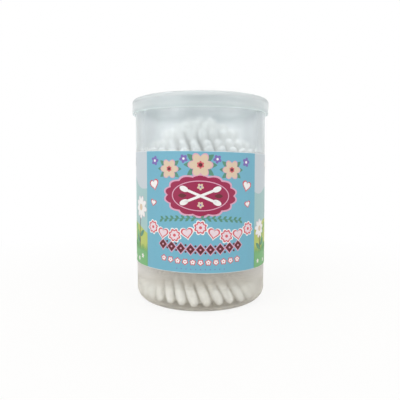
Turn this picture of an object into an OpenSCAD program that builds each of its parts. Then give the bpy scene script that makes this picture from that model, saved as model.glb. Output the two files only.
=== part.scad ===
// Round tub of cotton swabs with a push-on lid.
// The tub stands at z = 0 on the ring round its pushed-up base, and its axis is Z.
// The middle of the wrap label faces -Y. All lengths are in millimetres.

/* [Swabs] */
// Length of one swab over both cotton tips
swab_l = 73; // [60:0.5:85]
// Diameter of the stick
stick_d = 2.4; // [1.8:0.1:3]
// Largest diameter of a cotton tip
tip_d = 3.9; // [3.6:0.1:5.5]
// Length of a cotton tip
tip_l = 10.5; // [10:0.5:20]
// Distance from the end of a tip to its widest place
tip_belly = 4.5; // [4:0.5:9]
// Difference between a tip's largest radius and the radius of its rounded end
nose_in = 0.35; // [0.1:0.05:0.8]
// Thickness of cotton where the tip thins out onto the stick
tail_t = 0.15; // [0.1:0.01:0.5]
// Thickness of cotton over the end of the stick
tip_cover = 2; // [1:0.1:4]
// Radial clearance of the stick in its cotton tip
socket_gap = 0.03; // [0.02:0.01:0.1]

/* [Bundle] */
// Turn of the bundle between its lower and upper ends, in degrees
bundle_twist = 88; // [30:1:100]
// Room between neighbours along a ring, measured across the tips
swab_gap = 0.66; // [0.6:0.02:2]
// Room between one ring and the next, measured across the tips
ring_gap = 1.1; // [0.38:0.01:1.5]
// Room between the outer tips' rounded ends and the tub's wall
wall_gap = 0.65; // [0.4:0.05:2]
// Clearance of the lowest tips over the tub's base
seat_gap = 0.15; // [0.05:0.05:0.5]
// How far the swabs stand up unevenly from the base
stagger = 0.8; // [0:0.1:1.5]
// How far the swabs lie unevenly along their ring
sway = 0.15; // [0:0.05:0.3]
// Angle from the front to the first swab of each ring, in degrees
first_angle = 6; // [0:1:12]
// Free height between the tallest tips and the lid's panel
headspace = 4.4; // [4.2:0.1:12]

/* [Tub] */
// Outer diameter of the tub
tub_d = 57; // [45:0.5:80]
// Wall thickness, the same in the side and the base
wall = 0.8; // [0.6:0.05:1.2]
// Radius of the outer corner between side and base
corner_r = 5.4; // [4:0.1:8]
// Width of the flat ring that the tub stands on
foot_w = 1.6; // [1:0.1:3]
// Rise of the base's middle above the standing ring
pushup_h = 5.8; // [2:0.1:8]
// How far the snap bead stands out of the wall
bead_out = 0.4; // [0.2:0.05:0.8]
// Radius of the snap bead's rounded section
bead_r = 0.7; // [0.5:0.05:1.2]
// Distance from the rim down to the middle of the snap bead
bead_drop = 3.2; // [2:0.1:6]
// Chamfer on the outer edge of the rim
rim_chamfer = 0.25; // [0.1:0.05:0.4]

/* [Lid] */
// Height of the lid
lid_h = 6.1; // [5:0.1:12]
// Wall thickness of the lid's skirt and plug ring
lid_wall = 0.6; // [0.5:0.05:1]
// Thickness of the lid's top
lid_top_t = 0.8; // [0.6:0.05:1.2]
// Radius of the lid's upper outer edge
lid_edge_r = 1.3; // [0.5:0.1:1.5]
// Radius of the lid's lower outer edge
lid_foot_r = 0.4; // [0.1:0.05:0.45]
// Radius of the inner edge of the stacking rim
rim_edge_r = 0.5; // [0.2:0.1:0.6]
// Depth of the panel below the stacking rim
panel_drop = 1.2; // [0.6:0.1:2]
// Radius of the blend between the panel and the stacking rim
panel_blend_r = 0.6; // [0.3:0.1:1]
// Depth of the plug ring below the underside of the panel
plug_drop = 1.4; // [0.6:0.1:3]
// Radial clearance between the plug ring and the tub's bore
plug_gap = 0.15; // [0.05:0.05:0.3]
// Radial clearance between the snap bead and the skirt
skirt_gap = 0.4; // [0.1:0.05:0.6]
// Radial clearance between the snap lip and the bead as the lid lifts
lip_gap = 0.05; // [0.02:0.01:0.1]
// Height of the snap lip's section
lip_h = 0.9; // [0.5:0.1:1.5]
// Distance from the lid's lower edge to the snap lip
lip_rise = 0.3; // [0.1:0.1:1]
// Clearance between the tub's rim and the lid's channel
rim_gap = 0.05; // [0.02:0.01:0.1]

/* [Label] */
// Height of the label's lower edge above the standing ring
label_z = 16.7; // [8:0.1:25]
// Height of the label
label_h = 47.5; // [30:0.5:55]
// Thickness of the label
label_t = 0.1; // [0.08:0.01:0.2]
// Glue between the label and the tub
glue_t = 0.02; // [0.01:0.01:0.05]
// Length by which the label's end laps over its start at the back
label_lap = 7; // [3:0.5:15]
// How far the label is out of level, in degrees
label_skew = 1.07; // [0:0.01:3]

/* [Hidden] */
FINE = 96;
// How far a cutting shape runs past the face that it opens
CLEAR = 1;
tub_r = tub_d / 2;
bore_r = tub_r - wall;
corner_c = tub_r - corner_r;
foot_in = corner_c - foot_w;
// The pushed-up base is part of a sphere of this radius, centred on the axis at dome_z
dome_r = (foot_in * foot_in + pushup_h * pushup_h) / (2 * pushup_h);
dome_z = pushup_h - dome_r;

// A tip's side is two arcs that meet at its belly. The first also runs smoothly into the rounded end.
nose_r = tip_d / 2 - nose_in;
belly_run = tip_belly - nose_r;
shoulder_r = (pow(tip_d / 2, 2) + pow(belly_run, 2) - pow(nose_r, 2)) / (2 * nose_in);
nose_turn = asin(belly_run / (shoulder_r - nose_r));
tail_run = tip_l - tip_belly;
socket_r = stick_d / 2 + socket_gap;
tail_in = tip_d / 2 - socket_r - tail_t;
tail_r = (tail_run * tail_run + tail_in * tail_in) / (2 * tail_in);
nose_steps = 3;
side_steps = 3;

// Rings are numbered from the outside. Each swab leans along its ring, and the lean grows with the radius.
ring_pitch = tip_d + ring_gap;
swab_pitch = tip_d + swab_gap;
core_l = swab_l - 2 * nose_r;
outer_r = bore_r - wall_gap - nose_r;
rings = 1 + floor(outer_r / ring_pitch);
named_rings = 4;
seat_r = nose_r + seat_gap;

function ring_radius(i) = let(r = outer_r - i * ring_pitch) r < swab_pitch / 2 ? 0 : r;
function ring_tilt(i) = asin(2 * ring_radius(i) * sin(bundle_twist / 2) / core_l);
// The swabs lean inward of their ring by half the twist, so the gap to a neighbour is measured at that slant
function ring_slant(i) = sin(ring_tilt(i)) * cos(bundle_twist / 2);
function ring_share(i) = swab_pitch / sqrt(1 - pow(ring_slant(i), 2)) / (2 * ring_radius(i));
function ring_count(i) = ring_radius(i) == 0 ? 1 : floor(180 / asin(min(1, ring_share(i))));

// Height of a rounded end's centre where it rests on the dome, the flat ring or the corner
function on_dome(r) = dome_z + sqrt(pow(dome_r + wall + seat_r, 2) - r * r);
function in_corner(r) = corner_r - sqrt(pow(corner_r - wall - seat_r, 2) - pow(r - corner_c, 2));
function seat_z(r) = max(on_dome(r), r > corner_c ? in_corner(r) : wall + seat_r);

GOLDEN = 137.508;
function uneven(i, k) = (1 + sin(GOLDEN * (k + 7 * i) * 3)) / 2;
function lift(i, k) = stagger * uneven(i, k);
function swing(i, k) = sway / max(1, ring_radius(i)) * 57.3 * sin(GOLDEN * (k + 5 * i));
function swab_angle(i, k) = first_angle * (i + 1) + k * 360 / ring_count(i) + swing(i, k);

ring_tops = [for (i = [0:rings - 1]) seat_z(ring_radius(i)) + core_l * cos(ring_tilt(i)) + nose_r];
bundle_top = max(ring_tops) + stagger;

panel_z = bundle_top + headspace;
lid_top = panel_z + lid_top_t + panel_drop;
lid_z = lid_top - lid_h;
tub_h = lid_top - lid_top_t - rim_gap;
bead_z = tub_h - bead_drop;
bead_c = tub_r + bead_out - bead_r;
skirt_in = tub_r + bead_out + skirt_gap;
lid_r = skirt_in + lid_wall;
lip_in = tub_r + bead_out + lip_gap;
plug_out = bore_r - plug_gap;
plug_in = plug_out - lid_wall;
label_in = tub_r + glue_t;
label_out = label_in + label_t;

RINGS = ["ring_1", "ring_2", "ring_3", "ring_4", "core"];

function rings_of(g) = g < named_rings ? [g] : [for (i = [named_rings:rings - 1]) i];

// What a fillet leaves of a square corner in +X +Y, with the fillet's arc centred on the origin
module corner_cut(r) {
    difference() {
        square(r + CLEAR);
        circle(r, $fn = FINE);
    }
}

// Half section of the tub's solid form, inset all round by a distance
module tub_form(inset, top) {
    difference() {
        translate([0, inset])
            square([tub_r - inset, top - inset]);
        translate([corner_c, corner_r])
            rotate(-90)
                corner_cut(corner_r - inset);
        translate([0, dome_z])
            circle(dome_r + inset, $fn = 2 * FINE);
    }
}

module tub() {
    color([0.82, 0.87, 0.90, 0.45])
        rotate_extrude($fn = FINE)
            difference() {
                union() {
                    tub_form(0, tub_h);
                    translate([bead_c, bead_z])
                        circle(bead_r, $fn = FINE);
                }
                tub_form(wall, tub_h + CLEAR);
                translate([tub_r - rim_chamfer, tub_h])
                    rotate(-45)
                        square(2 * rim_chamfer);
            }
}

// Channel that takes the tub's rim, narrowed near its mouth by the snap lip
module rim_channel() {
    polygon([
        [plug_out, -CLEAR],
        [skirt_in, -CLEAR],
        [skirt_in, lip_rise],
        [lip_in, lip_rise + lip_h / 3],
        [lip_in, lip_rise + 2 * lip_h / 3],
        [skirt_in, lip_rise + lip_h],
        [skirt_in, lid_h - lid_top_t],
        [plug_out, lid_h - lid_top_t],
    ]);
}

module lid_section() {
    under = panel_z - lid_z;
    difference() {
        square([lid_r, lid_h]);
        translate([lid_r - lid_edge_r, lid_h - lid_edge_r])
            corner_cut(lid_edge_r);
        translate([lid_r - lid_foot_r, lid_foot_r])
            rotate(-90)
                corner_cut(lid_foot_r);
        rim_channel();
        // Space inside the plug ring, and below that ring
        square([plug_in, under]);
        square([plug_out + rim_gap, under - plug_drop]);
        // Recess above the panel
        difference() {
            translate([0, under + lid_top_t])
                square([plug_in, 2 * panel_drop]);
            translate([plug_in - panel_blend_r, under + lid_top_t + panel_blend_r])
                rotate(-90)
                    intersection() {
                        corner_cut(panel_blend_r);
                        square(panel_blend_r);
                    }
        }
        translate([plug_in + rim_edge_r, lid_h - rim_edge_r])
            mirror([1, 0])
                corner_cut(rim_edge_r);
    }
}

module lid() {
    color([0.85, 0.89, 0.92, 0.5])
        translate([0, 0, lid_z])
            rotate_extrude($fn = FINE)
                lid_section();
}

module label() {
    lap_turn = 360 * label_lap / (2 * PI * label_out);
    middle = label_z + label_h / 2;
    color([0.40, 0.66, 0.80])
        intersection() {
            union() {
                translate([0, 0, label_z / 2])
                    rotate_extrude($fn = FINE)
                        translate([label_in, 0])
                            square([label_t, label_h + label_z]);
                rotate(90)
                    translate([0, 0, label_z / 2])
                        rotate_extrude(angle = lap_turn, $fn = FINE)
                            translate([label_in, 0])
                                square([2 * label_t, label_h + label_z]);
            }
            translate([0, 0, middle])
                rotate([0, label_skew, 0])
                    cube([2 * tub_d, 2 * tub_d, label_h], center = true);
        }
}

// Half section of a cotton tip with its end at the origin
module tip_section() {
    rounded = [
        for (s = [0:nose_steps])
            let(turn = s * (90 - nose_turn) / nose_steps)
                [nose_r * sin(turn), nose_r * (1 - cos(turn))]
    ];
    shoulder = [
        for (s = [1:side_steps])
            let(turn = nose_turn * (1 - s / side_steps))
                [tip_d / 2 - shoulder_r * (1 - cos(turn)), tip_belly - shoulder_r * sin(turn)]
    ];
    tail = [
        for (s = [1:side_steps])
            let(run = tail_run * s / side_steps)
                [tip_d / 2 - tail_r + sqrt(tail_r * tail_r - run * run), tip_belly + run]
    ];
    bore = [[socket_r, tip_l], [socket_r, tip_cover], [0, tip_cover]];
    polygon(concat(rounded, shoulder, tail, bore));
}

module tip() {
    rotate_extrude($fn = FINE)
        tip_section();
}

module stick() {
    translate([0, 0, tip_cover + socket_gap])
        cylinder(d = stick_d, h = swab_l - 2 * (tip_cover + socket_gap), $fn = FINE);
}

// Puts its children, drawn along +Z from the origin, in the place of every swab of a group of rings
module in_bundle(g) {
    for (i = rings_of(g))
        for (k = [0:ring_count(i) - 1]) {
            r = ring_radius(i);
            a = swab_angle(i, k);
            translate([r * sin(a), -r * cos(a), seat_z(r)])
                rotate([0, ring_tilt(i), a + 180 - bundle_twist / 2])
                    translate([0, 0, lift(i, k) - nose_r])
                        children();
        }
}

module sticks(g) {
    color([0.95, 0.95, 0.93])
        in_bundle(g)
            stick();
}

module lower_tips(g) {
    color([0.97, 0.97, 0.95])
        in_bundle(g)
            tip();
}

module upper_tips(g) {
    color([0.98, 0.98, 0.97])
        in_bundle(g)
            translate([0, 0, swab_l])
                rotate([180, 0, 0])
                    tip();
}

tub();
lid();
label();
for (g = [0:len(RINGS) - 1]) {
    sticks(g);
    lower_tips(g);
    upper_tips(g);
}
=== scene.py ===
import math
import random

import bmesh
import bpy
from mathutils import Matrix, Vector, noise
from mathutils.geometry import tessellate_polygon


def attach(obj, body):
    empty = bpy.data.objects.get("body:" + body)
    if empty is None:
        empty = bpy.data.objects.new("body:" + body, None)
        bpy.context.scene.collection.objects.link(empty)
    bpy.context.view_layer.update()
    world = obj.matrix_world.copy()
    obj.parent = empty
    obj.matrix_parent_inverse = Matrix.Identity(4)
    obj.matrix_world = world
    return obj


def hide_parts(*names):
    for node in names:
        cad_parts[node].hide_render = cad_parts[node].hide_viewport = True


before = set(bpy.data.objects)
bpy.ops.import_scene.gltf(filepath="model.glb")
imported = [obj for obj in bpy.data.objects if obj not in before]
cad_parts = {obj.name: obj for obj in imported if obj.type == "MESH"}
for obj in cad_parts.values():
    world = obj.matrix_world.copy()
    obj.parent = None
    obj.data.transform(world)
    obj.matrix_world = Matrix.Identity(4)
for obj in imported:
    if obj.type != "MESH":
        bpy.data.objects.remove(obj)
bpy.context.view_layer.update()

bl_info = {
    "name": "Cotton swab tub",
    "version": (1, 0, 0),
    "blender": (4, 5, 0),
    "location": "3D View > Sidebar > Swab Tub",
    "description": "Dresses the frame of a tub of cotton swabs: its plastics, cotton and label",
    "category": "Object",
}

MM = 0.001
RINGS = ("ring_1", "ring_2", "ring_3", "ring_4", "core")


def mm(value):
    """A length given in millimetres, in metres."""
    return value * MM


# Sizes and colours

def length(name, description, default):
    """A length property in metres, with its default given in millimetres."""
    return bpy.props.FloatProperty(
        name=name, description=description, default=mm(default), min=0, unit="LENGTH", precision=5
    )


def share(name, description, default):
    """A property that runs from 0 to 1."""
    return bpy.props.FloatProperty(
        name=name, description=description, default=default, min=0, max=1, subtype="FACTOR"
    )


def colour(name, description, red, green, blue):
    """A colour property, with its default given as the 0 to 255 values that a screen shows."""
    return bpy.props.FloatVectorProperty(
        name=name,
        description=description,
        default=[screen_to_linear(c) for c in (red, green, blue)],
        size=3,
        min=0,
        max=1,
        subtype="COLOR",
    )


def screen_to_linear(value):
    """The linear light of a screen value from 0 to 255."""
    value /= 255
    return value / 12.92 if value <= 0.04045 else ((value + 0.055) / 1.055) ** 2.4


def power(name, description, default):
    """The power of a lamp, in watts."""
    return bpy.props.FloatProperty(
        name=name, description=description, default=default, unit="POWER"
    )


def angle(name, description, default):
    """An angle property, with its default given in degrees."""
    return bpy.props.FloatProperty(
        name=name, description=description, default=math.radians(default), subtype="ANGLE"
    )


class SWABTUB_PG_stage(bpy.types.PropertyGroup):
    """The camera, floor, lamps and world."""

    distance: length("Camera distance", "From the tub's axis to the camera", 189.14)
    height: length("Camera height", "From the floor to the camera", 57.46)
    pitch: angle("Camera pitch", "How far the camera looks down", 4.28)
    lens: bpy.props.FloatProperty(
        name="Lens", description="Focal length in millimetres, on a 36 mm sensor", default=37.68
    )
    shift: bpy.props.FloatProperty(
        name="Shift", description="Sideways shift, as a share of the frame", default=-0.00125
    )
    floor_colour: colour("Floor", "Colour of the floor", 238, 234, 226)
    floor_radius: length("Floor radius", "Radius of the floor", 900)
    shade: share("Shadow depth", "How much of the tub's shadow the floor shows near it", 0.14)
    lamp_size: length("Lamp size", "Width of each of the square lamps", 900)
    ambient: bpy.props.FloatProperty(
        name="Ambient light", description="Strength of the world as a light", default=0.5, min=0
    )
    key_power: power("Left lamp", "Power of the left lamp", 4.7)
    fill_power: power("Right lamp", "Power of the right lamp", 3.0)
    top_power: power("Top lamp", "Power of the lamp overhead", 3.2)
    back_power: power("Back lamp", "Power of the lamp behind the tub", 0.8)


class SWABTUB_PG_plastic(bpy.types.PropertyGroup):
    """The milky plastic of the tub and the lid."""

    tub_tint: colour("Tub tint", "Colour of what shows through the tub's wall", 248, 251, 252)
    tub_milk: colour("Tub milk", "Colour of the tub's plastic itself", 76, 100, 110)
    # The tub's pale cloud along the outline is partly painted light from the white surroundings.
    tub_edge_and_light: colour("Tub edge", "Colour of the cloud along the wall's outline", 240, 244, 246)
    tub_cloud: share("Tub cloud", "How thick the cloud along the tub's outline is", 0.95)
    # The foot's light, warm milk is painted light: the warm floor's light seen through the foot.
    foot_milk_and_floor_light: colour("Foot milk", "Colour of the plastic near the tub's foot", 208, 199, 182)
    # The band's grey milk is painted shade under the label, over the plastic's own haze.
    band_milk_and_shade: colour("Band milk", "Colour of the plastic just under the label", 210, 206, 198)
    # The foot's near-white cloud is painted light at its sides.
    foot_edge_and_side_light: colour("Foot edge", "Colour of the cloud below the label", 254, 253, 252)
    tub_haze: share("Tub haze", "How milky each face of the tub's wall is, seen straight on", 0.125)
    # The extra haze close under the lid is painted shade over light refracted through the lid.
    brim_haze_and_shade: share("Brim haze", "How milky each face is close to the lid", 0.16)
    # The foot's extra haze carries that painted floor light over the plastic's own haze.
    foot_haze_and_light: share("Foot haze", "How much milkier each face is near the tub's foot", 0.09)
    # Much of the band's extra haze is painted shade under the label.
    band_haze_and_shade: share("Band haze", "How much milkier each face is just under the label", 0.46)
    tub_roughness: share("Tub roughness", "Roughness of the tub's faces", 0.21)
    lid_tint: colour("Lid tint", "Colour of what shows through the lid", 250, 252, 252)
    lid_milk: colour("Lid milk", "Colour of the lid's plastic itself", 208, 215, 216)
    crown_milk: colour("Crown milk", "Colour of the plastic in the top of the lid", 230, 233, 234)
    # The milk along the skirt's lower edge is painted shade over the light from below.
    hem_milk_and_shade: colour("Hem milk", "Colour of the skirt's lower edge", 212, 220, 221)
    # The lid's pale cloud along the outline is partly painted light from the white surroundings.
    lid_edge_and_light: colour("Lid edge", "Colour of the cloud along the lid's outline", 250, 250, 251)
    crown_edge: colour("Crown edge", "Colour of the cloud along the top of the lid", 186, 189, 190)
    lid_haze: share("Lid haze", "How milky each face of the lid is, seen straight on", 0.19)
    crown_haze: share("Crown haze", "How milky each face is in the top of the lid", 0.6)
    # The extra haze along the skirt's lower edge is painted shade.
    hem_haze_and_shade: share("Hem haze", "How much milkier each face is along the skirt's lower edge", 0.6)
    lid_cloud: share("Lid cloud", "How thick the cloud along the lid's outline is", 0.5)
    lid_roughness: share("Lid roughness", "Roughness of the lid's faces", 0.36)


class SWABTUB_PG_swabs(bpy.types.PropertyGroup):
    """The paper sticks and their cotton."""

    # The sticks' paper is greyed below white: painted shade of the tub's dim inside.
    paper: colour("Stick paper", "Colour of the rolled paper sticks", 215, 212, 204)
    cotton: colour("Cotton", "Colour of the cotton", 252, 251, 248)
    tip_diameter: length("Tip diameter", "Widest diameter of a cotton tip", 3.9)
    nose_radius: length("Nose radius", "Radius of a tip's rounded end", 1.6)
    belly: length("Belly", "From a tip's end to its widest place", 4.5)
    tip_length: length("Tip length", "Length of the cotton on a stick's end", 10.5)
    tail_radius: length("Tail radius", "Radius at the cotton's inner end", 1.3)
    cover: length("Cover", "Cotton past the stick's end", 2.03)
    lump: length("Lumps", "Height of the cotton's soft lumps", 0.05)
    wrap: length("Winding", "Height of the marks that the winding leaves", 0.022)
    fibres: bpy.props.IntProperty(
        name="Loose fibres", description="Loose fibres on each tip", default=16, min=0
    )
    fibre_width: length("Fibre width", "Width of a loose fibre", 0.045)
    fibre_rise: length("Fibre rise", "How far a loose fibre stands off", 0.16)


class SWABTUB_PG_label(bpy.types.PropertyGroup):
    """The paper label and its print."""

    radius: length("Radius", "Outer radius of the sheet", 28.62)
    low: length("Lower edge", "Height of the lower edge above the floor", 16.7)
    height: length("Height", "Height of the sheet", 47.5)
    thickness: length("Thickness", "Thickness of the paper", 0.1)
    lap: length("Lap", "Length of the end that laps over the start", 7)
    skew: angle("Skew", "How far the sheet is out of level", 1.07)
    slice_width: length("Slice", "Width of the flat slices that follow the curve", 1.2)
    ink: length("Ink step", "Height from one layer of ink to the next", 0.02)
    paper: colour("Paper", "Bare paper", 236, 238, 240)
    sky: colour("Sky", "Ground of the side panels", 196, 206, 214)
    blue: colour("Blue", "Ground of the front panel", 111, 175, 199)
    magenta: colour("Magenta", "Medallion", 150, 20, 72)
    rim_pink: colour("Pale pink", "Rims of medallion, blossoms and diamonds", 216, 162, 190)
    white: colour("White", "White parts of the print", 238, 238, 239)
    red: colour("Red", "Outlines of the hearts and daisies", 206, 88, 102)
    maroon: colour("Maroon", "Dark diamonds", 94, 24, 36)
    leaf: colour("Leaf", "Leaves and sprigs", 84, 140, 118)
    cream: colour("Cream", "Blossom", 216, 196, 172)
    brown: colour("Brown", "Stems of the tall daisies", 88, 70, 70)
    violet: colour("Violet", "Small flowers", 122, 104, 178)
    teal: colour("Teal", "Far hills", 162, 196, 198)
    lime: colour("Lime", "Near hills", 182, 196, 104)
    grass: colour("Grass", "Grass", 116, 178, 118)


# Node trees

NOISE_LOW, NOISE_HIGH = 0.3, 0.7  # the range that most of a noise pattern lies in
MIX_COLOURS = slice(6, 8)  # where a Mix node keeps the inputs for its two colours
MIX_RESULT = 2  # and the output for the colour between them


class Tree:
    """The node tree of a material or a world, with short calls to add and join nodes."""

    def __init__(self, name, store=bpy.data.materials, output="OutputMaterial"):
        self.owner = store.new(name)
        self.owner.use_nodes = True
        self.nodes = self.owner.node_tree.nodes
        self.links = self.owner.node_tree.links
        self.nodes.clear()
        self.output = self.add(output)

    def feed(self, sockets, *values):
        """Sets the value of each input, or joins it to the output of another node."""
        for socket, value in zip(sockets, values):
            if isinstance(value, bpy.types.NodeSocket):
                self.links.new(value, socket)
            else:
                socket.default_value = value

    def add(self, kind, **values):
        """A new node. A value sets the input of that name, or else the node's own setting."""
        node = self.nodes.new("ShaderNode" + kind)
        for name, value in values.items():
            socket = node.inputs.get(name.replace("_", " "))
            if socket is None:
                setattr(node, name, value)
            else:
                self.feed([socket], value)
        return node

    def place(self, stretch=(1, 1, 1)):
        """The piece's own coordinates, stretched."""
        own = self.add("TexCoord").outputs["Object"]
        return self.add("Mapping", Vector=own, Scale=stretch).outputs["Vector"]

    def upward(self, vector):
        """The upward part of a vector."""
        return self.add("SeparateXYZ", Vector=vector).outputs["Z"]

    def speckle(self, scale, detail, stretch=(1, 1, 1)):
        """A soft random pattern from 0 to 1. The scale is how many times it repeats in a metre."""
        where = self.place(stretch)
        return self.add("TexNoise", Vector=where, Scale=scale, Detail=detail).outputs["Fac"]

    def spread(self, value, low, high, start=NOISE_LOW, end=NOISE_HIGH, ease="LINEAR"):
        """A number that goes from low to high while a value goes from start to end."""
        node = self.add("MapRange", Value=value, interpolation_type=ease)
        limits = {"From Min": start, "From Max": end, "To Min": low, "To Max": high}
        for name, number in limits.items():
            node.inputs[name].default_value = number
        return node.outputs["Result"]

    def ramp(self, part, low, high):
        """A number that goes from low to high while a part goes from 0 to 1."""
        return self.spread(part, low, high, 0, 1)

    def fade(self, height, zone, low, high, ease="LINEAR"):
        """A number that goes from low to high over a zone of heights, given in millimetres."""
        return self.spread(height, low, high, mm(zone[0]), mm(zone[1]), ease)

    def between(self, factor, first, second):
        """A colour between two others."""
        node = self.add("Mix", data_type="RGBA")
        self.feed(node.inputs, factor)
        self.feed(node.inputs[MIX_COLOURS], rgba(first), rgba(second))
        return node.outputs[MIX_RESULT]

    def sum(self, operation, first, second):
        """One sum of two numbers or sockets."""
        node = self.add("Math", operation=operation)
        self.feed(node.inputs, first, second)
        return node.outputs[0]

    def blend(self, factor, first, second):
        """A shader between two others."""
        node = self.add("MixShader")
        self.feed(node.inputs, factor, first, second)
        return node.outputs[0]

    def relief(self, height, depth, strength):
        """A bump from a height pattern. The depth is in metres."""
        return self.add("Bump", Height=height, Distance=depth, Strength=strength).outputs["Normal"]

    def finish(self, shader):
        """The material or world, with its shader joined to the output."""
        self.links.new(shader, self.output.inputs["Surface"])
        return self.owner

    def surface(self, **values):
        """The material, made of one Principled shader with these inputs."""
        return self.finish(self.add("BsdfPrincipled", **values).outputs[0])


def rgba(colour):
    """A colour with its fourth value, or a socket as it is."""
    return colour if isinstance(colour, bpy.types.NodeSocket) else (*colour[:3], 1)


def darker(rgb, factor):
    """A colour with its light cut to a share."""
    return tuple(c * factor for c in rgb[:3])


# Plastics

# The heights between which the plastic changes, in millimetres above the floor
ABOVE_TIPS = (8.5, 16)  # from the lower cotton tips up to the band under the label, milky and grey as painted shade
BEHIND_LABEL = (24, 50)  # from that band, out of sight, to the clear wall over the label
# Close under the lid the wall's darker veil is painted shade.
BRIM = (78.3, 79.3)  # to the part of the wall close under the lid
# Along the skirt's lower edge the lid is milkier as painted shade.
HEM = (81.1, 82.6)  # from the lower edge of the lid's skirt
CROWN = (84.8, 85.2)  # to the top of the lid

CLOUD_SLOPE = 1.5  # how closely the cloud keeps to the outline
MILKY_SLOPE = 1.0  # the same in plastic that is milky all through
MILKY = 0.4  # the added haze from which plastic is milky all through
# Faces that look down get little of the pale cloud: painted shade on the skirt's floor-lit
# underside.
UNDERSIDE = (-0.95, -0.3)  # how far up the normal points where a face looks down, and where not


def milk_in(t, shade):
    """The milk in a plastic: half of its light comes back from it and half goes through."""
    back = t.add("BsdfDiffuse", Color=shade).outputs[0]
    through = t.add("BsdfTranslucent", Color=shade).outputs[0]
    return t.blend(0.5, back, through)


def turned_away(t):
    """How far a face is turned away from the eye: most along the outline."""
    return t.add("LayerWeight", Blend=0.35).outputs["Facing"]


def milky_plastic(t, tint, roughness, milk, haze, edge, rim):
    """Clear plastic that is hazy with milk all over, and clouds over towards its outline, where the
    cloud's pale colour is partly painted light.
    """
    streaks = t.speckle(140, detail=3, stretch=(1, 1, 0.35))
    ripples = t.speckle(260, detail=2, stretch=(1, 1, 0.5))
    body = t.add(
        "BsdfPrincipled",
        Base_Color=rgba(tint),
        Roughness=t.spread(streaks, 0.85 * roughness, 1.2 * roughness),
        IOR=1.49,
        Transmission_Weight=1.0,
        Normal=t.relief(ripples, depth=mm(0.02), strength=0.35),
    ).outputs[0]
    mottle = t.sum("MULTIPLY", haze, t.spread(streaks, 0.85, 1.15))
    hazy = t.blend(mottle, body, milk_in(t, milk))
    # The cloud along the outline: more of the plastic's thickness, with a pale colour that is
    # partly painted light.
    seen = t.blend(rim, hazy, milk_in(t, edge))
    passed = t.add("BsdfTransparent", Color=rgba([c**0.5 for c in tint])).outputs[0]
    lamps = t.add("LightPath").outputs["Is Shadow Ray"]
    return t.finish(t.blend(lamps, seen, passed))


def tub_plastic(p):
    """The tub's plastic: clear over the label, hazier at the foot with painted light, milkiest
    under the label as painted shade.
    """
    t = Tree("tub_wall_plastic")
    height = t.upward(t.place())
    foot = t.fade(height, BEHIND_LABEL, 1, 0)
    above_tips = t.fade(height, ABOVE_TIPS, 0, 1, "SMOOTHSTEP")
    brim = t.fade(height, BRIM, 0, 1)
    # Extra haze low down: the plastic's own haze, with painted floor light at the foot and painted
    # shade in the band under the label.
    lower_haze_and_painted_light = t.sum("MULTIPLY", foot, t.ramp(above_tips, p.foot_haze_and_light, p.band_haze_and_shade))
    # Near the lid the added haze is painted shade.
    haze = t.sum("ADD", lower_haze_and_painted_light, t.ramp(brim, p.tub_haze, p.brim_haze_and_shade))
    grain = t.spread(t.speckle(6000, detail=0), 0.45, 1.55)
    slope = t.sum("POWER", turned_away(t), t.spread(lower_haze_and_painted_light, CLOUD_SLOPE, MILKY_SLOPE, 0, MILKY))
    # The cloud grows with the extra haze low down, which is partly painted light at the foot's
    # sides.
    thick = t.sum("ADD", lower_haze_and_painted_light, t.ramp(above_tips, 0.5 * p.tub_cloud, p.tub_cloud))
    return milky_plastic(
        t, p.tub_tint, p.tub_roughness,
        # Low down the milk is painted floor light at the foot and painted shade in the band under
        # the label.
        milk=t.between(foot, p.tub_milk, t.between(above_tips, p.foot_milk_and_floor_light, p.band_milk_and_shade)),
        haze=t.sum("MULTIPLY", grain, haze),
        # Below the label the cloud along the outline is near white: painted light at the foot's
        # sides.
        edge=t.between(foot, p.tub_edge_and_light, p.foot_edge_and_side_light),
        rim=t.sum("MULTIPLY", slope, thick),
    )


def lid_plastic(p):
    """The lid's plastic: milkier on top, milky grey along its lower edge and with little cloud
    underneath as painted shade.
    """
    t = Tree("lid_cap_plastic")
    height = t.upward(t.place())
    crown = t.fade(height, CROWN, 0, 1)
    hem = t.fade(height, HEM, 1, 0)
    level = t.upward(t.add("NewGeometry").outputs["Normal"])
    slope = t.sum("POWER", turned_away(t), CLOUD_SLOPE)
    # Less cloud on faces that look down: painted shade.
    thick = t.spread(level, 0.2 * p.lid_cloud, p.lid_cloud, *UNDERSIDE)
    crown_haze = t.ramp(crown, p.lid_haze, p.crown_haze)
    return milky_plastic(
        t, p.lid_tint, p.lid_roughness,
        # Along the lower edge the milk and its haze are painted shade.
        milk=t.between(hem, t.between(crown, p.lid_milk, p.crown_milk), p.hem_milk_and_shade),
        haze=t.sum("ADD", crown_haze, t.ramp(hem, 0, p.hem_haze_and_shade)),
        edge=t.between(crown, p.lid_edge_and_light, p.crown_edge),
        rim=t.sum("MULTIPLY", slope, thick),
    )


# Papers, inks and cotton

COCKLE_DEPTH = 0.5  # of the wrapped paper's cockles, in millimetres


def cockles(t):
    """The faint cockles of paper that is wrapped and glued."""
    return t.speckle(75, detail=1, stretch=(1, 1, 0.4))


def rolled_paper(name, rgb):
    """Matt white paper rolled into a stick, with the faint turns of the roll."""
    t = Tree(name)
    turns = t.speckle(900, detail=2, stretch=(1, 1, 0.2))
    return t.surface(
        Base_Color=t.between(turns, darker(rgb, 0.93), rgb),
        Roughness=t.spread(turns, 0.6, 0.75),
        Normal=t.relief(turns, depth=mm(0.03), strength=0.5),
    )


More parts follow.
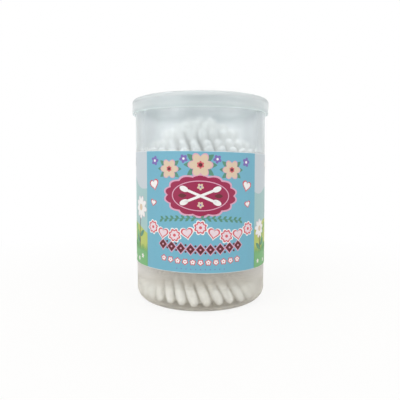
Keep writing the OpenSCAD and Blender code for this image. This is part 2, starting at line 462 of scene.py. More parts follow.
def soft_cotton(name, rgb):
    """Cotton wool: matt, with a fine nap, and light that sinks in a little."""
    t = Tree(name)
    nap = t.speckle(5200, detail=4)
    clumps = t.speckle(700, detail=3)
    height = t.sum("ADD", t.sum("MULTIPLY", nap, 0.5), clumps)
    return t.surface(
        Base_Color=t.between(clumps, darker(rgb, 0.95), rgb),
        Roughness=t.spread(nap, 0.88, 1.0),
        Subsurface_Weight=0.5,
        Subsurface_Radius=(1, 1, 1),
        Subsurface_Scale=mm(1.2),
        Sheen_Weight=0.35,
        Sheen_Roughness=0.6,
        Normal=t.relief(height, depth=mm(0.12), strength=0.7),
    )


def label_paper(name, rgb):
    """Coated label paper, with faint cockles and a silky surface."""
    t = Tree(name)
    fibre = t.speckle(2600, detail=3)
    height = t.sum("ADD", t.sum("MULTIPLY", fibre, 0.04), cockles(t))
    return t.surface(
        Base_Color=t.between(fibre, darker(rgb, 0.96), rgb),
        Roughness=t.spread(fibre, 0.42, 0.55),
        Normal=t.relief(height, depth=mm(COCKLE_DEPTH), strength=0.35),
    )


def printed_ink(name, rgb):
    """One ink of the print: silky like its paper, with the slight mottle of print."""
    t = Tree(name)
    mottle = t.speckle(1500, detail=3)
    lighter = [min(1, c * 1.04) for c in rgb]
    return t.surface(
        Base_Color=t.between(mottle, darker(rgb, 0.93), lighter),
        Roughness=t.spread(mottle, 0.38, 0.5),
        Normal=t.relief(cockles(t), depth=mm(COCKLE_DEPTH), strength=0.35),
    )


# Meshes

def new_piece(name, bm, materials):
    """An object in the scene from a bmesh, which is used up."""
    bmesh.ops.recalc_face_normals(bm, faces=bm.faces)
    mesh = bpy.data.meshes.new(name)
    bm.to_mesh(mesh)
    bm.free()
    for material in materials:
        mesh.materials.append(material)
    piece = bpy.data.objects.new(name, mesh)
    bpy.context.scene.collection.objects.link(piece)
    return piece


def bands(bm, rings):
    """The faces between each closed ring of vertices and the next."""
    faces = []
    for low, high in zip(rings, rings[1:]):
        for i in range(len(low)):
            k = (i + 1) % len(low)
            faces.append(bm.faces.new((low[i], low[k], high[k], high[i])))
    return faces


def repaint(node, material):
    """Gives a CAD node's object a better material."""
    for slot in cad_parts[node].material_slots:
        slot.material = material


def stick_axes(ring):
    """The lower and the upper end of each stick of a ring, found in the frame's mesh."""
    weld = mm(0.002)
    bm = bmesh.new()
    bm.from_mesh(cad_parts["sticks_" + ring].data)
    bmesh.ops.remove_doubles(bm, verts=bm.verts, dist=weld)
    axes, seen = [], set()
    for start in bm.verts:
        if start in seen:
            continue
        seen.add(start)
        island, queue = [], [start]
        while queue:
            vert = queue.pop()
            island.append(vert.co.copy())
            for edge in vert.link_edges:
                other = edge.other_vert(vert)
                if other not in seen:
                    seen.add(other)
                    queue.append(other)
        axes.append(ends_of(island))
    bm.free()
    return sorted(axes, key=lambda axis: math.atan2(axis[0].y, axis[0].x))


def ends_of(points):
    """The middles of a stick's lower and upper end, from the points of its surface."""
    near_end, rim, passes = 0.9, mm(1), 3
    middle = sum(points, Vector()) / len(points)
    spokes = [p - middle for p in points]
    far = max(spoke.length for spoke in spokes)
    top = [s for p, s in zip(points, spokes) if p.z > middle.z and s.length > near_end * far]
    end = sum(top, Vector())
    for _ in range(passes):
        axis = end.normalized()
        reach = max(spoke.dot(axis) for spoke in spokes)
        ring = [spoke for spoke in spokes if spoke.dot(axis) > reach - rim]
        end = sum(ring, Vector()) / len(ring)
    return middle - end.normalized() * end.length, middle + end.normalized() * end.length


TAIL_CURVE = 1.6  # over 1, a tip stays full for longer before it slims down to its tail


def tip_radius(s, swabs):
    """A tip's radius at a distance from its end: round nose, widest at the belly, slim tail."""
    nose, belly = swabs.nose_radius, swabs.belly
    widest = swabs.tip_diameter / 2
    if s > belly:
        run = (s - belly) / (swabs.tip_length - belly)
        return widest - (widest - swabs.tail_radius) * run**TAIL_CURVE
    run = belly - nose
    shoulder = (widest**2 + run**2 - nose**2) / (2 * (widest - nose))
    meet = nose - nose * run / (shoulder - nose)
    if s < meet:
        return math.sqrt(max(0.0, nose**2 - (nose - s) ** 2))
    return widest - shoulder + math.sqrt(shoulder**2 - (belly - s) ** 2)


# The surface of a cotton tip, with lengths in millimetres
LUMPS_PER_METRE = 420
DRIFT = 100  # how far off in the noise the lumps of a tip may be taken from
WINDING_PITCH = 3.2
PITCH_VARIES = (0.9, 1.4)
SMOOTH_NOSE = 1.2  # the length over which lumps and winding come in
FIBRE_START = (0.06, 0.85)  # shares of the tip's length
FIBRE_REACH = 1.6
FIBRE_SWING = 0.9  # round the tip, in radians
FIBRE_LIFT = (0.3, 1)  # shares of the full rise
FIBRE_ROOT = 0.03  # how deep a fibre's ends lie in the cotton
CLEAR_NOSE, CLEAR_TAIL = 0.4, 0.2  # the ends of the tip, which a fibre keeps off


def add_tip(bm, end, away, swabs, rng):
    """One cotton tip. It starts at end and runs back along the stick in the direction away."""
    around, along = 18, 16
    crowding = 1.35  # over 1, the rows of faces stand closer together at the nose
    tail_dent = mm(0.3)
    side = away.orthogonal().normalized()
    across = away.cross(side)
    phase, pitch = rng.uniform(0, math.tau), rng.uniform(*PITCH_VARIES)
    drift = Vector((rng.uniform(0, DRIFT), rng.uniform(0, DRIFT), rng.uniform(0, DRIFT)))

    def surface(s, turn, lift=0.0):
        radial = side * math.cos(turn) + across * math.sin(turn)
        here = end + away * s + radial * tip_radius(s, swabs)
        lumps = noise.noise((here * LUMPS_PER_METRE) + drift) * swabs.lump
        winding = math.sin(turn + phase + pitch * math.tau * s / mm(WINDING_PITCH)) * swabs.wrap
        fade = min(1, s / mm(SMOOTH_NOSE))
        return here + radial * ((lumps + winding) * fade + lift)

    rows = []
    for j in range(1, along + 1):
        s = swabs.tip_length * (j / along) ** crowding
        rows.append([bm.verts.new(surface(s, math.tau * i / around)) for i in range(around)])
    for face in bands(bm, rows):
        face.smooth = True
    nose = bm.verts.new(end)
    tail = bm.verts.new(end + away * (swabs.tip_length - tail_dent))
    for i in range(around):
        k = (i + 1) % around
        bm.faces.new((nose, rows[0][k], rows[0][i])).smooth = True
        bm.faces.new((tail, rows[-1][i], rows[-1][k])).smooth = True
    for _ in range(swabs.fibres):
        add_fibre(bm, surface, swabs, rng)


def add_fibre(bm, surface, swabs, rng):
    """One loose fibre: a thin three-sided hair that leaves the surface and comes back to it."""
    steps, sides = 4, 3
    s, turn = rng.uniform(*FIBRE_START) * swabs.tip_length, rng.uniform(0, math.tau)
    reach = rng.uniform(-1, 1) * mm(FIBRE_REACH)
    swing = rng.uniform(-FIBRE_SWING, FIBRE_SWING)
    rise = rng.uniform(*FIBRE_LIFT) * swabs.fibre_rise
    first, last, probe = mm(CLEAR_NOSE), swabs.tip_length - mm(CLEAR_TAIL), mm(0.1)
    rings = []
    for j in range(steps + 1):
        part = j / steps
        along = min(max(s + reach * part, first), last)
        arch = math.sin(math.pi * min(1, part * 1.1)) * rise - mm(FIBRE_ROOT)
        middle = surface(along, turn + swing * part, arch)
        up = (middle - surface(along, turn + swing * part, arch - probe)).normalized()
        flat = up.orthogonal().normalized()
        width = swabs.fibre_width / 2 * (1 - 0.5 * part)
        rings.append([
            bm.verts.new(middle + (flat * math.cos(a) + up.cross(flat) * math.sin(a)) * width)
            for a in (math.tau * i / sides for i in range(sides))
        ])
    bands(bm, rings)
    bm.faces.new(reversed(rings[0]))
    bm.faces.new(rings[-1])


# The label's surface

# In millimetres
CLIMB = 3  # the length over which the sheet's end climbs onto its start
CURL = 2  # the length at the end that curls up
CURL_LIFT = 0.12
INK_SINK = 0.01  # how far an ink reaches into what it is printed on


def sheet_radius(u, label):
    """The sheet's outer radius at a distance round the tub, where its end climbs over its start."""
    half = math.pi * label.radius
    climb = min(1, max(0, (u - half + mm(CLIMB)) / mm(CLIMB)))
    curl = max(0, (u - half - label.lap + mm(CURL)) / mm(CURL))
    over = label.thickness * climb * climb * (3 - 2 * climb)
    return label.radius + over + mm(CURL_LIFT) * curl * curl


def on_label(u, z, lift, label):
    """A point of the label: u round the tub from the front, z up, and lift off the sheet."""
    turn = u / label.radius
    r = sheet_radius(u, label) + lift
    middle = label.low + label.height / 2
    x = r * math.sin(turn)
    up = middle + (z - middle) / math.cos(label.skew) - x * math.tan(label.skew)
    return Vector((x, -r * math.cos(turn), up))


def add_shape(bm, outline, layer, ink, label):
    """A flat shape of ink, in slices that wrap round the tub. Its outline is in millimetres."""
    flat = bmesh.new()
    points = [Vector((u, z, 0)) for u, z in outline]
    verts = [flat.verts.new(p) for p in points]
    for triangle in tessellate_polygon([points]):
        corners = [verts[i] for i in triangle]
        if len(set(corners)) == 3:
            flat.faces.new(corners)
    step = label.slice_width / MM
    first = math.ceil(min(u for u, z in outline) / step)
    last = math.floor(max(u for u, z in outline) / step)
    for cut in range(first, last + 1):
        bmesh.ops.bisect_plane(
            flat,
            geom=flat.verts[:] + flat.edges[:] + flat.faces[:],
            plane_co=(cut * step, 0, 0),
            plane_no=(1, 0, 0),
            dist=1e-5,
        )
    top = layer * label.ink
    bottom = (layer - 1) * label.ink - mm(INK_SINK)
    upper, lower = {}, {}
    for vert in flat.verts:
        u, z = mm(vert.co.x), mm(vert.co.y)
        upper[vert] = bm.verts.new(on_label(u, z, top, label))
        lower[vert] = bm.verts.new(on_label(u, z, bottom, label))
    for face in flat.faces:
        ring = list(face.verts) if face.normal.z > 0 else list(reversed(face.verts))
        bm.faces.new([upper[v] for v in ring]).material_index = ink
        bm.faces.new([lower[v] for v in reversed(ring)]).material_index = ink
    for edge in flat.edges:
        if len(edge.link_faces) == 1:
            a, b = edge.verts
            bm.faces.new((upper[a], upper[b], lower[b], lower[a])).material_index = ink
    flat.free()


# Outlines for the print, in millimetres and degrees

def turned(points, cu, cz, degrees):
    """Points turned about their own origin and moved to a centre."""
    c, s = math.cos(math.radians(degrees)), math.sin(math.radians(degrees))
    return [(cu + u * c - z * s, cz + u * s + z * c) for u, z in points]


def oval(cu, cz, ru, rz, count):
    """An ellipse."""
    ring = [math.tau * i / count for i in range(count)]
    return [(cu + ru * math.cos(a), cz + rz * math.sin(a)) for a in ring]


def dot(cu, cz, radius, count=16):
    """A small round dot."""
    return oval(cu, cz, radius, radius, count)


def slab(cu, cz, width, height):
    """A bar whose corners are just off sharp."""
    r = 0.01 * min(width, height) / 2
    steps = 6
    points = []
    for corner, (su, sz) in enumerate(((1, 1), (-1, 1), (-1, -1), (1, -1))):
        for i in range(steps + 1):
            a = math.radians(90 * corner + 90 / steps * i)
            points.append((
                su * (width / 2 - r) + r * math.cos(a),
                sz * (height / 2 - r) + r * math.sin(a),
            ))
    return turned(points, cu, cz, 0)


def petals(cu, cz, radius, count, depth, degrees=0, squash=1.0):
    """A round shape with a scalloped edge."""
    each = 10
    points = []
    for i in range(count * each):
        a = math.tau * i / (count * each)
        r = radius + depth * abs(math.sin(count * a / 2))
        points.append((r * math.cos(a), r * math.sin(a) * squash))
    return turned(points, cu, cz, degrees)


def leaf(cu, cz, size, width, degrees):
    """A pointed leaf that grows from its centre point."""
    steps, fullness = 10, 0.8
    points = []
    for i in range(steps + 1):
        part = i / steps
        points.append((size * part, width * math.sin(math.pi * part) ** fullness / 2))
    points += [(u, -z) for u, z in reversed(points[1:-1])]
    return turned(points, cu, cz, degrees)


def heart(cu, cz, size, degrees):
    """A heart about as wide as its size."""
    count = 36
    span, middle = 33, 2.5  # of the curve below, in its own units
    points = []
    for i in range(count):
        a = math.tau * i / count
        z = 13 * math.cos(a) - 5 * math.cos(2 * a) - 2 * math.cos(3 * a) - math.cos(4 * a)
        points.append((16 * math.sin(a) ** 3 * size / span, (z + middle) * size / span))
    return turned(points, cu, cz, degrees)


def shrunk(outline, part):
    """An outline brought to a part of its size about its own middle. Over 1 it grows."""
    cu = sum(u for u, z in outline) / len(outline)
    cz = sum(z for u, z in outline) / len(outline)
    return [(cu + (u - cu) * part, cz + (z - cz) * part) for u, z in outline]


def stroke(points, width, taper=1.0):
    """A line of some width through points. The taper is the share of the width at its far end."""
    left, right = [], []
    for i, (u, z) in enumerate(points):
        before, after = points[max(0, i - 1)], points[min(len(points) - 1, i + 1)]
        du, dz = after[0] - before[0], after[1] - before[1]
        size = math.hypot(du, dz)
        half = width / 2 * (1 + (taper - 1) * i / (len(points) - 1))
        left.append((u - dz / size * half, z + du / size * half))
        right.append((u + dz / size * half, z - du / size * half))
    return left + right[::-1]


# The label's print, with its places in millimetres round the tub and up from the floor

FRONT_PANEL = (-24.7, 25.2)
BARE_START, BARE_END = 7.4, 0.25  # bare paper at the sheet's ends: the start lies under the lap
MARGIN = 0.15  # bare paper over and under each panel


def label_inks(label):
    """The inks of the print by name. The last is the medallion's pale pink, let down with white."""
    names = (
        "sky", "blue", "magenta", "rim_pink", "white", "red", "maroon", "leaf", "cream", "brown",
        "violet", "teal", "lime", "grass",
    )
    inks = {name: printed_ink("ink_" + name, getattr(label, name)[:]) for name in names}
    pale_pink = [0.6 * a + 0.4 * b for a, b in zip(label.white, label.rim_pink)]
    inks["pale_pink"] = printed_ink("ink_pale_pink", pale_pink)
    return inks


class Print:
    """The shapes of a part of the label's print, gathered into one piece."""

    def __init__(self, label):
        self.label, self.inks = label, label_inks(label)
        self.bm = bmesh.new()

    def put(self, layer, ink, *outlines):
        """Adds shapes of one ink on a layer."""
        index = list(self.inks).index(ink)
        for outline in outlines:
            add_shape(self.bm, outline, layer, index, self.label)

    def panel(self, ink, start, stop):
        """Adds the ground of a panel, nearly as high as the label."""
        low, high = self.label.low / MM, (self.label.low + self.label.height) / MM
        width, height = stop - start, high - low - 2 * MARGIN
        self.put(1, ink, slab((start + stop) / 2, (low + high) / 2, width, height))

    def finish(self, name):
        """Makes the piece, which rides on the tub."""
        made = new_piece(name, self.bm, list(self.inks.values()))
        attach(made, "filled_tub")


def ringed(art, layer, rim, fill, outline, part):
    """A shape in one ink with a smaller copy of it in another ink on top."""
    art.put(layer, rim, outline)
    art.put(layer + 1, fill, shrunk(outline, part))


def small_flower(art, cu, cz, size, layer, petal, middle, degrees):
    """A small flower with five round petals and a round middle."""
    art.put(layer, petal, petals(cu, cz, 0.62 * size, 5, 0.4 * size, degrees))
    art.put(layer + 1, middle, dot(cu, cz, 0.28 * size))


def drawn_swab(cu, cz, size, degrees):
    """A drawn swab: its stick and its two tips, as shares of its size."""
    end, half = 0.4, 0.03
    stick = [(-end, -half), (end, -half), (end, half), (-end, half)]
    tips = [oval(side * 0.42, 0, 0.11, 0.065, 20) for side in (-1, 1)]
    parts = [[(u * size, z * size) for u, z in part] for part in (stick, *tips)]
    return [turned(part, cu, cz, degrees) for part in parts]


def print_front(art):
    """The blue panel: a medallion under three blossoms, a garland, hearts and rows of ornaments."""
    art.panel("blue", *FRONT_PANEL)
    print_medallion(art, 0.0, 47.0)
    print_crown(art)
    print_hearts(art)
    print_garland(art)
    print_diamonds(art)
    print_foot(art)


def print_medallion(art, cu, cz):
    """The magenta medallion, with two crossed swabs, two leaves and two small flowers on it."""
    for layer, ink, radius, squash in ((2, "rim_pink", 14.0, 0.56), (3, "magenta", 13.2, 0.54)):
        art.put(layer, ink, petals(cu, cz, radius, 14, depth=1.3, squash=squash))
    for layer, ink, ru, rz in ((4, "rim_pink", 11.4, 5.9), (5, "magenta", 11.0, 5.55)):
        art.put(layer, ink, oval(cu, cz, ru, rz, count=60))
    for layer, degrees in ((6, 22), (7, 158)):
        art.put(layer, "white", *drawn_swab(cu, cz, 16.5, degrees))
    for side in (-1, 1):
        art.put(6, "maroon", leaf(cu + side * 5.4, cz, 3.4, 1.7, 90 - side * 90))
        small_flower(art, cu, cz + side * 3.5, 1.3, 6, "cream", "violet", 18)


def print_crown(art):
    """The three cream blossoms over the medallion, with leaves and small violet flowers."""
    for u, z, size in ((-12.6, 57.2, 4.0), (0.0, 58.9, 5.0), (12.6, 57.2, 4.0)):
        for turn in (-38, 0, 38, 142, 180, 218):
            art.put(2, "leaf", leaf(u, z, 1.32 * size, 0.5 * size, turn))
        shape = petals(u, z, 0.66 * size, 6, 0.34 * size, 30)
        ringed(art, 3, "rim_pink", "cream", shape, 0.9)
        art.put(5, "red", petals(u, z, 0.2 * size, 6, 0.1 * size))
        art.put(6, "maroon", dot(u, z, 0.15 * size, 20))
    for side in (-1, 1):
        small_flower(art, side * 6.6, 61.2, 1.7, 2, "violet", "white", 10)
        small_flower(art, side * 19.6, 60.3, 1.9, 2, "violet", "white", 40)


def print_hearts(art):
    """The hearts beside the medallion, and the two swags of hearts and daisies below it."""
    for side in (-1, 1):
        ringed(art, 2, "red", "white", heart(side * 20.0, 50.6, 5.2, side * -14), 0.76)
        ringed(art, 2, "red", "white", heart(side * 20.6, 43.4, 3.4, side * 12), 0.7)
    width, drop, tilt = 22.8, 3.4, 13  # of a swag
    cord_z, hearts_z, cord_step, hearts_gap = 35.4, 34.7, 0.57, 5.2

    def hang(u):
        return drop * abs(math.sin(math.pi * u / width))

    cord = [(cord_step * i, cord_z - hang(cord_step * i)) for i in range(-40, 41)]
    art.put(2, "red", stroke(cord, 0.35))
    for i in range(-4, 5):
        u = hearts_gap * i
        z = hearts_z - hang(u)
        slope = -math.copysign(tilt, u) * math.cos(math.pi * u / width) if i else 0
        if i % 2:
            shape = heart(u, z - 0.3, 5.0, slope)
        else:
            shape = petals(u, z, 1.95, 8, 0.6, slope)
        art.put(3, "white", shrunk(shape, 1.2))
        ringed(art, 4, "red", "pale_pink", shape, 0.74)
        if i % 2 == 0:
            art.put(6, "red", dot(u, z, 0.6))


def bowed_row(count, step, middle, bow):
    """The numbers and places of a row of ornaments, with count of them on each side of one."""
    for i in range(-count, count + 1):
        u = step * i
        yield i, u, middle + bow * u * u


def print_garland(art):
    """The leafy garland: a fine stem with a pair of leaves at each step."""
    middle, bow = 38.3, -0.004
    stem = [(u, z) for i, u, z in bowed_row(28, 0.6, middle, bow)]
    art.put(2, "leaf", stroke(stem, 0.22))
    for i, u, z in bowed_row(7, 2.25, middle, bow):
        tilt = 0 if i >= 0 else 180
        pair = leaf(u, z, 1.9, 0.95, tilt + 38), leaf(u + 0.5, z, 1.9, 0.95, tilt - 38)
        art.put(2, "leaf", *pair)


def print_diamonds(art):
    """The row of dark diamonds with pale rims, and pairs of dots between them."""
    half_width, half_height, rim, gap, count = 1.75, 2.0, 1.25, 3.9, 4
    corners = ((1, 0), (0, 1), (-1, 0), (0, -1))
    diamond = [(a * half_width, b * half_height) for a, b in corners]
    for i, u, z in bowed_row(count, gap, 26.0, 0.006):
        art.put(2, "rim_pink", turned([(rim * a, rim * b) for a, b in diamond], u, z, 0))
        art.put(3, "maroon", turned(diamond, u, z, 0))
        art.put(4, "rim_pink", dot(u, z, 0.38, 14))
        if i < count:
            pair = [dot(u + gap / 2, z + side * 1.3, 0.42, 14) for side in (1, -1)]
            art.put(2, "maroon", *pair)


def print_foot(art):
    """The small daisies and the fine dots at the foot."""
    for i, u, z in bowed_row(5, 3.05, 21.0, 0.004):
        ringed(art, 2, "red", "white", petals(u, z, 0.95, 5, 0.4, 18 + 36 * (i % 2)), 0.68)
        art.put(4, "red", dot(u, z, 0.26, 12))
    for i, u, z in bowed_row(5, 1.9, 18.3, 0):
        art.put(2, "violet", dot(u, z, 0.24, 12))


def ground_line(start, end, height, waves, floor):
    """The outline of a strip of ground with a wavy top. A wave has its height, run and phase."""
    count = max(4, int((end - start) / 1.2))
    top = []
    for i in range(count + 1):
        u = start + (end - start) * i / count
        swell = sum(size * math.sin(u / run + phase) for size, run, phase in waves)
        top.append((u, height + swell))
    return [(start, floor), (end, floor)] + top[::-1]


def grass_blades(start, end, floor, low, high, rng):
    """The outline of a tuft of grass, blade by blade."""
    points = [(start, floor), (end, floor)]
    u = end
    while u > start:
        points.append((u, low + rng.uniform(-0.3, 0.3)))
        lean, tall = rng.uniform(0.25, 0.5), rng.uniform(0.6, 1)
        points.append((max(start, u - lean), tall * (high - low) + low))
        u -= rng.uniform(0.7, 1.1)
    points.append((start, low))
    return points


def cloud(art, cu, cz, size):
    """A small round cloud of overlapping puffs."""
    puffs = (
        (-0.62, -0.08, 0.3), (-0.2, 0.12, 0.42), (0.3, 0.06, 0.36), (0.68, -0.1, 0.24),
        (0.0, -0.16, 0.34),
    )
    for layer, (u, z, r) in enumerate(puffs, start=2):
        art.put(layer, "white", oval(cu + u * size, cz + z * size, r * size, 0.8 * r * size, 24))


def daisy(art, cu, foot, height, size, lean):
    """A tall daisy: a thin dark stem with two leaves and a white flower seen from the front."""
    steps = 8
    stem = []
    for i in range(steps + 1):
        stem.append((cu + lean * (i / steps) ** 2 + 0.2 * math.sin(i), foot + height * i / steps))
    art.put(5, "brown", stroke(stem, 0.6, taper=0.6))
    for side, at in ((-1, 2), (1, 3)):
        u, z = stem[at]
        art.put(5, "leaf", leaf(u, z, 5.0, 1.9, 90 - side * 52))
    u, z = stem[-1]
    for layer, ink, radius in ((6, "pale_pink", 0.72), (7, "white", 0.64)):
        art.put(layer, ink, petals(u, z, radius * size, 9, 0.36 * size, 7 * lean))
    art.put(8, "cream", dot(u, z, 0.3 * size, 20))


def bush(art, cu, foot, size):
    """A round bush in two greens."""
    art.put(4, "grass", petals(cu, foot + 0.6 * size, 0.9 * size, 9, 0.22 * size))
    art.put(5, "lime", petals(cu - 0.2 * size, foot + 0.85 * size, 0.45 * size, 7, 0.14 * size))


def print_sides(art):
    """The side and back panels: sky, hills and grass all round, with what grows on them."""
    rng = random.Random(11)
    half = math.pi * art.label.radius / MM
    left = (BARE_START - half, FRONT_PANEL[0])
    right = (FRONT_PANEL[1], half + art.label.lap / MM - BARE_END)
    for start, stop in (left, right):
        print_land(art, start, stop, rng)
    print_growth(art)
    for start, stop in (left, right):
        print_small_flowers(art, start, stop, rng)


def print_land(art, start, stop, rng):
    """The pale sky of a panel, its far and near hills and its grass."""
    floor = art.label.low / MM + MARGIN
    far = ((2.6, 8.2, 0.9), (1.0, 3.1, 2.0))
    near = ((2.4, 6.4, 2.2), (0.7, 2.7, 0.4))
    art.panel("sky", start, stop)
    art.put(2, "teal", ground_line(start, stop, 51.0, far, floor))
    art.put(3, "lime", ground_line(start, stop, 33.5, near, floor))
    art.put(6, "grass", grass_blades(start, stop, floor, 22.6, 26.4, rng))


def print_growth(art):
    """The clouds, the bushes and the tall daisies, each at its own place."""
    clouds = ((-43, 60.3, 5), (-71, 59.4, 6), (41, 60.2, 5), (68, 59.6, 6.5), (88, 60.4, 4.5))
    bushes = ((-38.5, 6.0), (-69.0, 7.5), (38.5, 6.5), (52.5, 5.0), (70.0, 7.5))
    daisies = (
        (-31.5, 20.0, 4.6, 1.4), (-46.0, 15.0, 3.8, -1.2), (-56.0, 22.0, 4.4, 1.0),
        (-77.0, 16.0, 4.0, -0.9), (30.4, 12.0, 3.8, -1.0), (45.5, 19.0, 4.6, 1.2),
        (61.0, 14.0, 3.8, -1.1), (79.0, 21.0, 4.6, 1.0), (90.0, 13.0, 3.6, 0.8),
    )
    for u, z, size in clouds:
        cloud(art, u, z, size)
    for u, size in bushes:
        bush(art, u, 24.0, size)
    for u, height, size, lean in daisies:
        daisy(art, u, 21.0, height, size, lean)


def print_small_flowers(art, start, stop, rng):
    """Small white flowers strewn along the foot of a panel."""
    u = start + rng.uniform(2.0, 4.0)
    while u < stop - 2:
        z, size, turn = rng.uniform(18.8, 21.6), rng.uniform(0.8, 1.15), rng.uniform(0, 72)
        small_flower(art, u, z, size, 7, "white", "cream", turn)
        u += rng.uniform(3.4, 6.5)


# Operators

# Each lamp's name, its place in metres and the stage property that holds its power
LAMPS = (
    ("left_lamp", (-0.72, -0.62, 0.52), "key_power"),
    ("right_lamp", (0.78, -0.54, 0.46), "fill_power"),
    ("top_lamp", (0.0, -0.05, 0.95), "top_power"),
    ("back_lamp", (0.1, 0.85, 0.48), "back_power"),
)
LAMP_AIM = (0, 0, 0.045)  # about the middle of the tub
WHITE = (1, 1, 1, 1)


class SWABTUB_OT_stage(bpy.types.Operator):
    """Set the camera, the floor, the lamps and the light all round."""

    bl_idname = "swabtub.stage"
    bl_label = "Stage"

    def execute(self, context):
        stage = context.scene.swabtub_stage
        self.place_camera(context, stage)
        self.lay_floor(stage)
        self.hang_lamps(stage)
        self.light_world(context, stage)
        context.scene.view_settings.view_transform = "Standard"
        cycles = context.scene.cycles
        cycles.max_bounces = cycles.transmission_bounces = 24
        cycles.transparent_max_bounces = 32
        return {"FINISHED"}

    def place_camera(self, context, stage):
        """A camera in front of the tub, a little over it."""
        camera = bpy.data.objects.new("camera", bpy.data.cameras.new("camera"))
        context.scene.collection.objects.link(camera)
        camera.location = (0, -stage.distance, stage.height)
        camera.rotation_euler = (math.pi / 2 - stage.pitch, 0, 0)
        camera.data.sensor_width = 36
        camera.data.lens = stage.lens
        camera.data.shift_x = stage.shift
        camera.data.clip_start, camera.data.clip_end = 0.01, 10
        context.scene.camera = camera

    def lay_floor(self, stage):
        """A pale floor. The eye sees most of it pure white, with some of the tub's shadow."""
        bm = bmesh.new()
        bmesh.ops.create_circle(bm, cap_ends=True, segments=96, radius=stage.floor_radius)
        t = Tree("pale_floor")
        pale = stage.floor_colour[:]
        mottle = t.between(t.speckle(60, detail=2), darker(pale, 0.985), pale)
        matt = t.add("BsdfDiffuse", Color=mottle).outputs[0]
        white = t.add("Emission", Color=WHITE, Strength=1).outputs[0]
        away = t.add("VectorMath", operation="LENGTH")
        t.links.new(t.add("TexCoord").outputs["Object"], away.inputs[0])
        beside, beyond = mm(40), mm(200)
        shown = t.spread(away.outputs["Value"], 1 - stage.shade, 1.0, beside, beyond)
        seen = t.add("LightPath").outputs["Is Camera Ray"]
        material = t.finish(t.blend(t.sum("MULTIPLY", seen, shown), matt, white))
        floor = new_piece("floor", bm, [material])

    def hang_lamps(self, stage):
        """Four soft lamps round the tub and over it."""
        for name, place, power in LAMPS:
            lamp = bpy.data.objects.new(name, bpy.data.lights.new(name, "AREA"))
            bpy.context.scene.collection.objects.link(lamp)
            lamp.data.energy, lamp.data.size = getattr(stage, power), stage.lamp_size
            lamp.location = place
            aim = Vector(LAMP_AIM) - lamp.location
            lamp.rotation_euler = aim.to_track_quat("-Z", "Y").to_euler()

    def light_world(self, context, stage):
        """Even light from all sides, which the eye, gloss and clear plastic see as white."""
        t = Tree("studio", bpy.data.worlds, "OutputWorld")
        rays = t.add("LightPath").outputs
        seen = t.sum("MAXIMUM", rays["Is Camera Ray"], rays["Is Glossy Ray"])
        seen = t.sum("MAXIMUM", seen, rays["Is Transmission Ray"])
        light = t.add("Background", Color=WHITE, Strength=stage.ambient).outputs[0]
        white = t.add("Background", Color=WHITE, Strength=1).outputs[0]
        context.scene.world = t.finish(t.blend(seen, light, white))


class SWABTUB_OT_tub(bpy.types.Operator):
    """Give the tub its milky plastic."""

    bl_idname = "swabtub.tub"
    bl_label = "Tub"

    def execute(self, context):
        repaint("tub", tub_plastic(context.scene.swabtub_plastic))
        return {"FINISHED"}


class SWABTUB_OT_lid(bpy.types.Operator):
    """Give the lid its milky plastic."""

    bl_idname = "swabtub.lid"
    bl_label = "Lid"

    def execute(self, context):
        repaint("lid", lid_plastic(context.scene.swabtub_plastic))
        return {"FINISHED"}


class SWABTUB_OT_sticks(bpy.types.Operator):
    """Give the sticks their rolled paper."""

    bl_idname = "swabtub.sticks"
    bl_label = "Sticks"

    def execute(self, context):
        # The paper's grey is painted shade.
        paper = rolled_paper("rolled_stick_paper", context.scene.swabtub_swabs.paper[:])
        for ring in RINGS:
            repaint("sticks_" + ring, paper)
        return {"FINISHED"}


class SWABTUB_OT_tips(bpy.types.Operator):
    """Wind cotton on both ends of every stick."""

    bl_idname = "swabtub.tips"
    bl_label = "Cotton tips"

    def execute(self, context):
        swabs = context.scene.swabtub_swabs
        cotton = soft_cotton("wound_cotton", swabs.cotton[:])
        for ring in RINGS:
            axes = stick_axes(ring)
            for level in ("lower", "upper"):
                node = f"{level}_tips_{ring}"
                rng = random.Random(node)
                bm = bmesh.new()
                for bottom, top in axes:
                    away = (top - bottom).normalized()
                    if level == "upper":
                        bottom, away = top, -away
                    add_tip(bm, bottom - away * swabs.cover, away, swabs, rng)
                piece = new_piece(f"cotton_{level}_{ring}", bm, [cotton])
                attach(piece, "filled_tub")
                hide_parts(node)
        return {"FINISHED"}


class SWABTUB_OT_label(bpy.types.Operator):
    """Wrap the paper label round the tub, with its end over its start."""

    bl_idname = "swabtub.label"
    bl_label = "Label sheet"

    def execute(self, context):
        label = context.scene.swabtub_label
        count = 180
        half = math.pi * label.radius
        low, high, inner = label.low, label.low + label.height, -label.thickness
        bm = bmesh.new()
        rows = []
        for i in range(count + 1):
            u = -half + (2 * half + label.lap) * i / count
            corners = ((low, 0), (high, 0), (high, inner), (low, inner))
            rows.append([bm.verts.new(on_label(u, z, lift, label)) for z, lift in corners])
        for one, two in zip(rows, rows[1:]):
            for i in range(4):
                k = (i + 1) % 4
                bm.faces.new((one[i], two[i], two[k], one[k]))
        bm.faces.new(rows[0])
        bm.faces.new(reversed(rows[-1]))
        sheet = new_piece("label_sheet", bm, [label_paper("coated_label_paper", label.paper[:])])
        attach(sheet, "filled_tub")
        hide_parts("label")
        return {"FINISHED"}


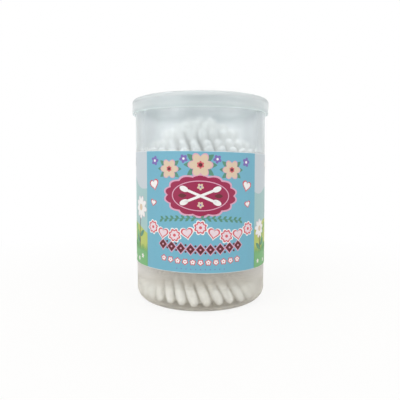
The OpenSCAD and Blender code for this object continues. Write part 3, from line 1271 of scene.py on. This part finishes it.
class SWABTUB_OT_front_print(bpy.types.Operator):
    """Print the front panel of the label."""

    bl_idname = "swabtub.front_print"
    bl_label = "Front print"

    def execute(self, context):
        art = Print(context.scene.swabtub_label)
        print_front(art)
        art.finish("label_print_front")
        return {"FINISHED"}


class SWABTUB_OT_side_print(bpy.types.Operator):
    """Print the side and back panels of the label."""

    bl_idname = "swabtub.side_print"
    bl_label = "Side print"

    def execute(self, context):
        art = Print(context.scene.swabtub_label)
        print_sides(art)
        art.finish("label_print_sides")
        return {"FINISHED"}


# Panel and start

OPERATORS = (
    SWABTUB_OT_stage,
    SWABTUB_OT_tub,
    SWABTUB_OT_lid,
    SWABTUB_OT_sticks,
    SWABTUB_OT_tips,
    SWABTUB_OT_label,
    SWABTUB_OT_front_print,
    SWABTUB_OT_side_print,
)
GROUPS = {
    "swabtub_stage": SWABTUB_PG_stage,
    "swabtub_plastic": SWABTUB_PG_plastic,
    "swabtub_swabs": SWABTUB_PG_swabs,
    "swabtub_label": SWABTUB_PG_label,
}


class SWABTUB_PT_pieces(bpy.types.Panel):
    """The tub's pieces, each with its button."""

    bl_idname = "SWABTUB_PT_pieces"
    bl_label = "Cotton swab tub"
    bl_space_type = "VIEW_3D"
    bl_region_type = "UI"
    bl_category = "Swab Tub"

    def draw(self, context):
        for operator in OPERATORS:
            self.layout.operator(operator.bl_idname)
        for name, group in GROUPS.items():
            box = self.layout.box()
            for field in group.__annotations__:
                box.prop(getattr(context.scene, name), field)


CLASSES = (*GROUPS.values(), *OPERATORS, SWABTUB_PT_pieces)


def register():
    for cls in CLASSES:
        bpy.utils.register_class(cls)
    for name, group in GROUPS.items():
        setattr(bpy.types.Scene, name, bpy.props.PointerProperty(type=group))


def unregister():
    for name in GROUPS:
        delattr(bpy.types.Scene, name)
    for cls in reversed(CLASSES):
        bpy.utils.unregister_class(cls)


def main():
    register()
    for operator in OPERATORS:
        group, name = operator.bl_idname.split(".")
        getattr(getattr(bpy.ops, group), name)()


if __name__ == "__main__":
    main()
